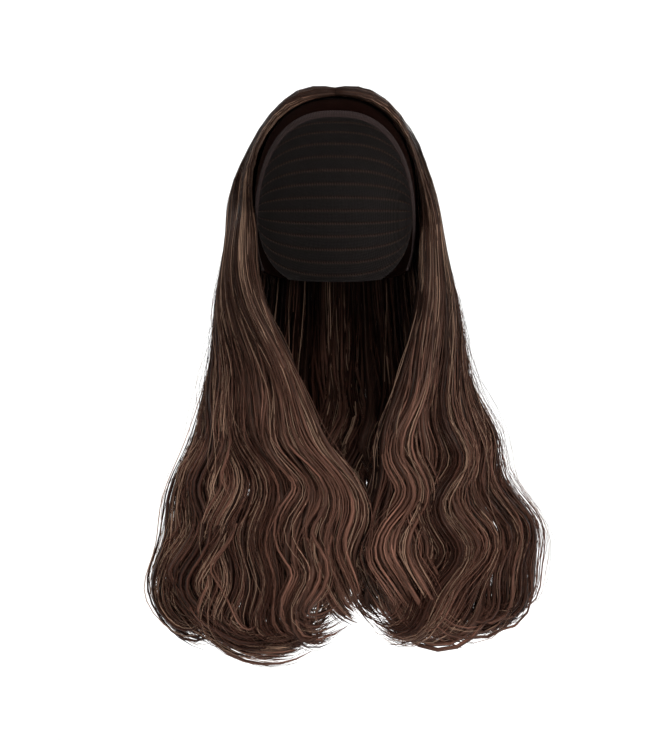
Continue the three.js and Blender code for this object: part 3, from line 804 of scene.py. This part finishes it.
# Strands as closed three sided tubes, wide ones flattened with a ridge along their outer face
def hairPiece(name, groups, material):
    vertices, quads, caps, colours, strandUv, bakeUv, capUv, capBake = [], [], [], [], [], [], [], []
    total = sum(group["width"][:, 2].sum() for group in groups)
    used, base = 0.0, 0
    ridge, margin = tubes["ridge"], tubes["margin"]
    for group in groups:
        path, width, length = group["path"], group["width"], group["length"]
        count, points = path.shape[:2]
        tangent = unit(np.gradient(path, axis=1))
        across = np.cross(tangent, group["out"])
        for i in range(1, points):
            # kept from turning over on the way
            turned = (across[:, i] * across[:, i - 1]).sum(-1, keepdims=True) < 0
            across[:, i] = np.where(turned, -across[:, i], across[:, i])
        ease(across)
        across = unit(across)
        up = unit(np.cross(across, tangent)) * (width * group["flat"])[..., None]
        half = across * width[..., None] / 2
        low = path - up * (1 - ridge)
        ring = np.stack([low - half, path + up * ridge, low + half], 2)
        vertices.append(ring.reshape(-1, 3))
        colours.append(np.repeat(group["colour"].reshape(-1, 3), 3, 0))
        index = base + np.arange(count * points * 3).reshape(count, points, 3)
        base += count * points * 3
        a, b = index[:, :-1], index[:, 1:]
        following = [1, 2, 0]
        quads.append(np.stack([a, a[..., following], b[..., following], b], -1).reshape(-1, 4))
        caps.append(index[:, 0][:, ::-1].reshape(-1, 3))
        caps.append(index[:, -1].reshape(-1, 3))
        # across and along in metres, for the fine streaks
        shift = rng.uniform(0, tubes["shift"], (count, 1, 1))
        w = width[:, :-1, None]
        u0, u1 = w * np.array([0, 0.5, 1]), w * np.array([0.5, 1, 0])
        v0, v1 = np.repeat(length[:, :-1, None], 3, 2), np.repeat(length[:, 1:, None], 3, 2)
        u, v = np.stack([u0, u1, u1, u0], -1) + shift[..., None], np.stack([v0, v0, v1, v1], -1)
        strandUv.append(np.stack([u, v], -1).reshape(-1, 2))
        # a column of its own for each strand, so that a bake keeps every strand's colours
        share = width[:, 2] / total
        left = used + np.concatenate([[0], np.cumsum(share)[:-1]])
        used += share.sum()
        third = share[:, None, None] / 3
        u0 = left[:, None, None] + third * np.arange(3) + np.zeros((1, points - 1, 1))
        t = margin + (1 - 2 * margin) * np.linspace(0, 1, points)
        t0 = np.broadcast_to(t[None, :-1, None], u0.shape)
        t1 = np.broadcast_to(t[None, 1:, None], u0.shape)
        u, v = np.stack([u0, u0 + third, u0 + third, u0], -1), np.stack([t0, t0, t1, t1], -1)
        bakeUv.append(np.stack([u, v], -1).reshape(-1, 2))
        for end, level in ((0, 0.0), (-1, 1.0)):
            capUv.append(np.stack([np.repeat(shift.reshape(-1), 3), np.repeat(length[:, end], 3)], -1))
            spot = np.stack([left + share * place for place in tubes["spots"]], -1)
            away = np.array([level, abs(level - margin), level])[None, :] + 0 * spot
            capBake.append(np.stack([spot, away], -1).reshape(-1, 2))
    quads, caps, vertices = np.concatenate(quads), np.concatenate(caps), np.concatenate(vertices)
    corners = np.concatenate([quads.ravel(), caps.ravel()])
    starts = np.concatenate([np.arange(len(quads)) * 4, len(quads) * 4 + np.arange(len(caps)) * 3])
    mesh = bpy.data.meshes.new(name)
    mesh.vertices.add(len(vertices))
    mesh.vertices.foreach_set("co", vertices.astype(np.float32).ravel())
    mesh.loops.add(len(corners))
    mesh.loops.foreach_set("vertex_index", corners.astype(np.int32))
    mesh.polygons.add(len(starts))
    mesh.polygons.foreach_set("loop_start", starts.astype(np.int32))
    mesh.update(calc_edges=True)
    for label, body, ends in (("strand", strandUv, capUv), ("OFBake", bakeUv, capBake)):
        layer = mesh.uv_layers.new(name=label)
        layer.data.foreach_set("uv", np.concatenate(body + ends).astype(np.float32).ravel())
    layer = mesh.attributes.new("strandColour", "FLOAT_COLOR", "POINT")
    paint = np.ones((len(vertices), 4), np.float32)
    paint[:, :3] = np.concatenate(colours)
    layer.data.foreach_set("color", paint.ravel())
    mesh.polygons.foreach_set("use_smooth", np.ones(len(starts), bool))
    mesh.validate()
    piece = addPiece(name, mesh, material)
    print(name, "strands", sum(len(g["path"]) for g in groups), "triangles", 2 * len(quads) + len(caps))
    return piece


hairFinish = {
    "fine": (1500, 20), "broad": (520, 11), "fineTone": 4.0, "broadTone": 2.4, "toneEnds": (0.15, 3.0),
    "roughSpread": 0.22, "roughEnds": (0.2, 0.8), "relief": 0.0004, "reliefStrength": 0.6,
    "gloss": 0.085, "glossTint": (1.0, 0.8, 0.66, 1),
}


def hairMaterial(name, roughness, streakShare):
    facts = hairFinish
    shade = Shade(name)
    u, v, _ = shade.parts(shade.uv("strand"))
    streak = shade.noise(shade.vector(u * facts["fine"][0], v * facts["fine"][1], 0.0), 1.0, 2.0, 0.6)
    broad = shade.noise(shade.vector(u * facts["broad"][0], v * facts["broad"][1], 3.0), 1.0, 1.0)
    tone = (streak - 0.5) * streakShare * facts["fineTone"] + (broad - 0.5) * streakShare * facts["broadTone"]
    tone = (tone + 1).clipped(*facts["toneEnds"])
    colour = shade.tinted(shade.attribute("strandColour"), tone)
    rough = (streak - 0.5) * facts["roughSpread"] + roughness
    relief = shade.bump(streak + broad * 0.6, facts["reliefStrength"], facts["relief"])
    return shade.finish(
        baseColor=colour, roughness=rough.clipped(*facts["roughEnds"]), normal=relief,
        specularIorLevel=facts["gloss"], specularTint=facts["glossTint"])


fallHair = hairMaterial("long_hair", 0.38, 0.5)
lockHair = hairMaterial("hair_locks", 0.4, 1.15)

hairCounts = {
    "left": {"fine": 700, "under": 40, "ribbon": 150, "inner": 50, "locks": 11, "strayFrom": 0.4},
    "right": {"fine": 680, "under": 40, "ribbon": 150, "inner": 50, "locks": 11, "strayFrom": 0.4},
    "back": {"fine": 840, "under": 140, "ribbon": 240, "inner": 100, "locks": 22, "strayFrom": 0},
    "stray": 70,
}
sides = {"left": -1, "right": 1, "back": 0}
locks = {name: locksOf(name, hairCounts[name]["locks"]) for name in sides}
rooted = {"crownPoints": 12, "fallPoints": 33, "rooted": True}  # from the parting
sewnIn = {"crownPoints": 5, "fallPoints": 33, "rooted": False}  # from a row lower down
strayPoints = {"crownPoints": 7, "fallPoints": 26, "rooted": False}


def grow(name, kindName, count, points, low=0, high=1):
    return growStrands(name, sides[name], count, low, high, locks[name], kindName, **points)


def addHair(name, groups, material, *nodes):
    piece = hairPiece(name, groups, material)
    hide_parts("crown_hair", *nodes)
    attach(piece, "root")


def fallHairs(label, name, share, low, high, numbers):
    # the fine hairs of a fall, or of a share of it, which stand for its numbered CAD locks
    counts = hairCounts[name]
    groups = [
        grow(name, "fine", int(counts["fine"] * share), rooted, low, high),
        grow(name, "fine", int(counts["under"] * share), sewnIn, low, high),
    ]
    addHair(label, groups, fallHair, *[f"lock_{name}_{i}" for i in numbers])


def fallRibbons(label, *names):
    groups = [
        grow(name, kindName, hairCounts[name][kindName], rooted)
        for name in names for kindName in ("ribbon", "inner")]
    addHair(label, groups, lockHair)


fallHairs("left_fall_hair", "left", 1, 0, 1, range(1, 6))
fallHairs("right_fall_hair", "right", 1, 0, 1, range(1, 6))
fallRibbons("front_fall_locks", "left", "right")
fallHairs("back_left_hair", "back", 0.5, 0, 0.5, range(1, 5))
fallHairs("back_right_hair", "back", 0.5, 0.5, 1, range(4, 8))
fallRibbons("back_fall_locks", "back")
strays = [
    grow(name, "stray", hairCounts["stray"], strayPoints, hairCounts[name]["strayFrom"])
    for name in sides]
addHair("stray_hairs", strays, fallHair)
print("hair grown")


# The band and the cap

sections = {"widest": 0.2, "rounds": 30, "hemFrom": -85, "hemTo": 60, "hemRounds": 40, "hemSwell": 0.001}


def sectionPoint(offset, turn, swell):
    # on the head's surface, in the plane a distance behind the band's front edge, turned from +X over the top
    over = np.array([0, -math.cos(band["lean"]), math.sin(band["lean"])])
    offset, turn = np.broadcast_arrays(np.asarray(offset, float), np.asarray(turn, float))
    centre = middle - bandBack * ((middle - bandFront) @ bandBack - offset[..., None])
    ray = np.cos(turn)[..., None] * np.array([1.0, 0, 0]) + np.sin(turn)[..., None] * over
    low, high = np.zeros(offset.shape), np.full(offset.shape, sections["widest"])
    for _ in range(sections["rounds"]):
        size = (low + high) / 2
        p = centre + ray * size[..., None] - middle
        inside = np.linalg.norm(p, axis=-1) < headRadius(unit(p), swell)
        low, high = np.where(inside, size, low), np.where(inside, high, size)
    return centre + ray * low[..., None]


hemRise = 0.5 * head["halfDepth"] * math.tan(capFacts["hemTilt"]) - head["above"] - capFacts["hemBelow"]
hemUp = np.array([0, math.sin(capFacts["hemTilt"]), math.cos(capFacts["hemTilt"])])


def aboveHem(point):
    # how far a point lies above the cap's hem
    return (point - np.array([0, 0, hemRise])) @ hemUp


def bandStrip(low, high, wall, columns, rows, relief, crown):
    # a strip around the head between two distances behind the front edge, from hem to hem, with its wall
    offsets = np.linspace(low, high, rows + 1)
    turns = []
    for offset in offsets:
        a, b = math.radians(sections["hemFrom"]), math.radians(sections["hemTo"])
        for _ in range(sections["hemRounds"]):
            mid = (a + b) / 2
            below = aboveHem(sectionPoint(offset, mid, sections["hemSwell"])) < 0
            a, b = (mid, b) if below else (a, mid)
        turns.append(b)
    turns = np.array(turns)
    across = np.linspace(0, 1, rows + 1)
    along = np.linspace(0, 1, columns + 1)
    turn = turns[None, :] + (math.pi - 2 * turns[None, :]) * along[:, None]
    offset = np.broadcast_to(offsets[None, :], turn.shape)
    inner = sectionPoint(offset, turn, offHead)
    outward = unit(inner - middle)
    height = np.full(turn.shape, wall - offHead)
    rounded = np.sqrt(np.clip(1 - (2 * across - 1) ** 6, 0, 1))[None, :]
    height = height * (1 - crown + crown * rounded)
    steps = np.linalg.norm(np.diff(inner[:, rows // 2], axis=0), axis=-1)
    travelled = np.concatenate([[0], np.cumsum(steps)])
    height = height + relief(travelled[:, None], across[None, :])
    outer = inner + outward * height[..., None]
    return inner, outer, travelled


def closedStrip(name, low, high, wall, columns, rows, material, relief, crown):
    inner, outer, travelled = bandStrip(low, high, wall, columns, rows, relief, crown)
    bm = bmesh.new()
    bmesh.ops.create_grid(bm, x_segments=columns, y_segments=rows, size=0.5)
    uv = bm.loops.layers.uv.new("cloth")
    steps = {v: (round((v.co.x + 0.5) * columns), round((v.co.y + 0.5) * rows)) for v in bm.verts}
    for face in bm.faces:
        for loop in face.loops:
            i, j = steps[loop.vert]
            loop[uv].uv = (travelled[i], (high - low) * j / rows)
    top = list(bm.verts)
    made = bmesh.ops.duplicate(bm, geom=list(bm.faces))
    twins = {v: made["vert_map"][v] for v in top}
    rim = [e for e in bm.edges if e.is_boundary and e.verts[0] in twins and e.verts[1] in twins]
    for v in top:
        i, j = steps[v]
        v.co = outer[i, j]
        twins[v].co = inner[i, j]
    bmesh.ops.reverse_faces(bm, faces=[f for f in made["geom"] if isinstance(f, bmesh.types.BMFace)])
    under = [e for e in bm.edges if e.is_boundary and e not in rim]
    bmesh.ops.bridge_loops(bm, edges=rim + under)
    bmesh.ops.recalc_face_normals(bm, faces=bm.faces)
    return smoothPiece(name, bm, material), travelled[-1]


edgeFacts = {
    "pitch": 0.00135, "relief": 0.00035, "perRib": 4, "rows": 6, "length": 0.43, "crown": 0.45,
    "course": 0.0011, "flatter": 0.35, "colour": (0.0150, 0.0098, 0.0092, 1), "rough": 0.82,
    # the rib tone here is painted light: rib crests lighter, grooves darker
    "fuzz": 1500, "courseTone": 0.25, "fuzzTone": 0.9, "ribTone": 0.9, "leastTone": -0.05, "bump": 0.0003,
}
velvetFacts = {
    "columns": 260, "rows": 12, "crown": 0.25,
    "crease": 0.00035, "creases": (0.031, 0.0117), "creaseStart": 1.3,
    "pile": 2600, "brushed": 70, "pileTone": 0.5, "brushedTone": 0.9, "bump": 0.0005,
    "colour": (0.0030, 0.0011, 0.0008, 1), "sheenTint": (0.6, 0.42, 0.36, 1), "rough": 0.95,
}
netFacts = {
    "stitch": 0.0024, "mesh": 0.0026, "rowTurn": 0.13, "rowEdge": 10, "cloth": (0.018, 0.0145, 0.0135, 1),
    "darkThread": (0.020, 0.012, 0.009, 1), "lightThread": (0.048, 0.029, 0.022, 1), "rough": 0.8,
    "fuzz": 900, "netTone": 0.35, "fuzzTone": 0.7, "leastTone": 0.45, "bump": 0.0012,
}


def velvetMaterial():
    shade = Shade("black_velvet_pile")
    place = shade.place()
    pile = shade.noise(place, velvetFacts["pile"], 2.0, 0.6)
    brushed = shade.noise(place, velvetFacts["brushed"], 3.0)
    tone = (brushed - 0.5) * velvetFacts["brushedTone"] + (pile - 0.5) * velvetFacts["pileTone"] + 1
    colour = shade.tinted(velvetFacts["colour"], tone)
    return shade.finish(
        baseColor=colour, roughness=velvetFacts["rough"], specularIorLevel=0, sheenWeight=0.008,
        sheenRoughness=0.4, sheenTint=velvetFacts["sheenTint"],
        normal=shade.bump(pile, 0.6, velvetFacts["bump"]))


def knitMaterial():
    shade = Shade("ribbed_elastic_knit")
    u, v, _ = shade.parts(shade.uv("cloth"))
    courses = v.wave(edgeFacts["course"]) * 0.5 + 0.5
    # painted light: the crest of each rib is painted lighter and its groove darker
    litRibCrest = (u * (2 * math.pi / edgeFacts["pitch"]) + math.pi / 2).sine() * 0.5 + 0.5
    fuzz = shade.noise(shade.place(), edgeFacts["fuzz"], 3.0, 0.65)
    tone = courses * edgeFacts["courseTone"] + fuzz * edgeFacts["fuzzTone"]
    tone = tone + litRibCrest * edgeFacts["ribTone"] + edgeFacts["leastTone"]
    colour = shade.tinted(edgeFacts["colour"], tone)
    return shade.finish(
        baseColor=colour, roughness=edgeFacts["rough"], specularIorLevel=0.03, sheenWeight=0.01,
        sheenRoughness=0.5, normal=shade.bump(courses + fuzz, 0.5, edgeFacts["bump"]))


def netMaterial():
    # rows of machine stitches that hold the hair, over a soft open net
    shade = Shade("cap_stretch_net")
    x, y, z = shade.parts(shade.place())
    around = shade.node("ShaderNodeMath", {"operation": "ARCTAN2"}, {0: y, 1: z + head["above"]}).out(0)
    row = (around.wave(netFacts["rowTurn"]) * 0.5 + 0.5) ** netFacts["rowEdge"]
    stitch = x.wave(netFacts["stitch"]) * 0.5 + 0.5
    net = (x + z).wave(netFacts["mesh"]) * (x - z + y).wave(netFacts["mesh"])
    fuzz = shade.noise(shade.place(), netFacts["fuzz"], 2.0)
    tone = net * netFacts["netTone"] + fuzz * netFacts["fuzzTone"] + netFacts["leastTone"]
    cloth = shade.tinted(netFacts["cloth"], tone)
    thread = shade.mixed(stitch, netFacts["darkThread"], netFacts["lightThread"])
    relief = shade.bump(row * (stitch * 0.5 + 0.6) + net * 0.15, 0.8, netFacts["bump"])
    return shade.finish(
        baseColor=shade.mixed(row, cloth, thread), roughness=netFacts["rough"], specularIorLevel=0.12,
        normal=relief)


edgeColumns = int(edgeFacts["length"] / edgeFacts["pitch"] * edgeFacts["perRib"])


def ribs(travelled, across):
    wave = np.cos(2 * math.pi * travelled / edgeFacts["pitch"])
    rounded = np.sqrt(np.clip(1 - (2 * across - 1) ** 4, 0, 1))
    return edgeFacts["relief"] * (wave - 1) * (edgeFacts["flatter"] + (1 - edgeFacts["flatter"]) * rounded)


def creases(travelled, across):
    # slight pulls across the velvet, where it is gathered towards the ears
    side = np.abs(travelled / edgeFacts["length"] * 2 - 1)
    wide, narrow = velvetFacts["creases"]
    pull = np.sin(travelled * 2 * math.pi / wide)
    pull = pull * np.sin(travelled * 2 * math.pi / narrow + velvetFacts["creaseStart"])
    return velvetFacts["crease"] * pull * side ** 1.5 * np.sin(math.pi * across)


ribbedEdge, edgeRun = closedStrip(
    "ribbed_band_edge", 0, band["edgeWidth"], band["edgeWall"], edgeColumns, edgeFacts["rows"],
    knitMaterial(), ribs, edgeFacts["crown"])
velvetLow = band["edgeWidth"] + band["seam"]
velvetHigh = velvetLow + band["velvetWidth"]
velvet, velvetRun = closedStrip(
    "velvet_head_band", velvetLow, velvetHigh, band["velvetWall"], velvetFacts["columns"],
    velvetFacts["rows"], velvetMaterial(), creases, velvetFacts["crown"])
for piece, node, slot in (
        (ribbedEdge, "ribbed_edge", "ribbed_knit"), (velvet, "velvet_band", "black_velvet")):
    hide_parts(node)
    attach(piece, "root")
print("band made", round(edgeRun, 4), round(velvetRun, 4))


def capShell():
    # a round shell pressed onto the head's form, cut at the band and at the hem
    bm = bmesh.new()
    bmesh.ops.create_uvsphere(bm, u_segments=capFacts["segments"], v_segments=capFacts["rings"], radius=1)
    directions = unit(np.array([v.co[:] for v in bm.verts]))
    inner = middle + directions * headRadius(directions, offHead)[:, None]
    for vertex, spot in zip(bm.verts, inner):
        vertex.co = spot
    start = bandFront + bandBack * (velvetHigh + band["seam"])
    for place, normal in ((start, bandBack), ((0, 0, hemRise), hemUp)):
        whole = bm.verts[:] + bm.edges[:] + bm.faces[:]
        bmesh.ops.bisect_plane(bm, geom=whole, plane_co=place, plane_no=normal, clear_inner=True)
    piece = smoothPiece("stretch_cap", bm, netMaterial())
    wall = piece.modifiers.new("wall", "SOLIDIFY")
    wall.thickness = capFacts["wall"] - capFacts["play"]
    wall.offset = 1
    return piece


cap = capShell()
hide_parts("wig_cap")
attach(cap, "root")
print("cap made")


# Floor, light and camera

def floorMaterial():
    shade = Shade("studio_floor")
    speck = shade.noise(shade.place(), 3.0)
    colour = shade.mixed(speck, (0.92, 0.92, 0.92, 1), (0.95, 0.95, 0.95, 1))
    return shade.finish(baseColor=colour, roughness=0.9, specularIorLevel=0.1)


studio = {"floor": -0.64, "radius": 2.6, "sweep": 0.9, "height": 2.2, "bends": 12, "around": 96}


def cove():
    # a pale floor that sweeps up into a round wall
    bm = bmesh.new()
    floor, sweep, inner = studio["floor"], studio["sweep"], studio["radius"] - studio["sweep"]
    profile = [(0, floor), (inner, floor)]
    for i in range(1, studio["bends"] + 1):
        turn = math.pi / 2 * i / studio["bends"]
        profile.append((inner + sweep * math.sin(turn), floor + sweep * (1 - math.cos(turn))))
    profile.append((studio["radius"], floor + studio["height"]))
    verts = [bm.verts.new((x, 0, z)) for x, z in profile]
    edges = [bm.edges.new(pair) for pair in zip(verts, verts[1:])]
    bmesh.ops.spin(
        bm, geom=verts + edges, cent=(0, 0, 0), axis=(0, 0, 1), angle=2 * math.pi,
        steps=studio["around"], use_merge=True)
    bmesh.ops.remove_doubles(bm, verts=bm.verts, dist=1e-5)
    bmesh.ops.recalc_face_normals(bm, faces=bm.faces)
    return smoothPiece("studio_cove", bm, floorMaterial())


cove()


def areaLight(name, place, aim, size, power):
    light = bpy.data.lights.new(name, "AREA")
    light.shape = "DISK"
    light.size = size
    light.energy = power
    lamp = bpy.data.objects.new(name, light)
    lamp.location = place
    lamp.rotation_euler = (Vector(aim) - Vector(place)).to_track_quat("-Z", "Y").to_euler()
    bpy.context.scene.collection.objects.link(lamp)


# place, aim, size and power
lights = {
    "key_light": ((1.0, -1.3, 1.25), (0, 0, -0.3), 0.6, 50),
    "fill_light": ((-1.0, -1.5, -0.4), (0, 0, -0.45), 0.9, 13),
    "top_light": ((0.1, 0.3, 1.5), (0, 0, -0.1), 0.9, 3),
    "back_light": ((0.5, 1.7, 0.6), (0, 0, -0.2), 0.8, 8),
}
for name, facts in lights.items():
    areaLight(name, *facts)

roomLight = 0.74
world = bpy.data.worlds.new("pale_room")
world.use_nodes = True
background = world.node_tree.nodes["Background"]
background.inputs[0].default_value = (1, 1, 1, 1)
background.inputs[1].default_value = roomLight
bpy.context.scene.world = world

# the focal length and the picture's long side in pixels, and the sensor's width in millimetres
view = {"place": (-0.0045, -1.5, -0.238), "focal": 1692, "longSide": 740, "sensor": 36}
cameraData = bpy.data.cameras.new("photo_view")
cameraData.lens = view["focal"] * view["sensor"] / view["longSide"]
cameraData.sensor_width = view["sensor"]
camera = bpy.data.objects.new("photo_view", cameraData)
camera.location = view["place"]
camera.rotation_euler = (math.pi / 2, 0, 0)
bpy.context.scene.collection.objects.link(camera)
bpy.context.scene.camera = camera
bpy.context.scene.view_settings.view_transform = "Standard"
print("camera and light set")
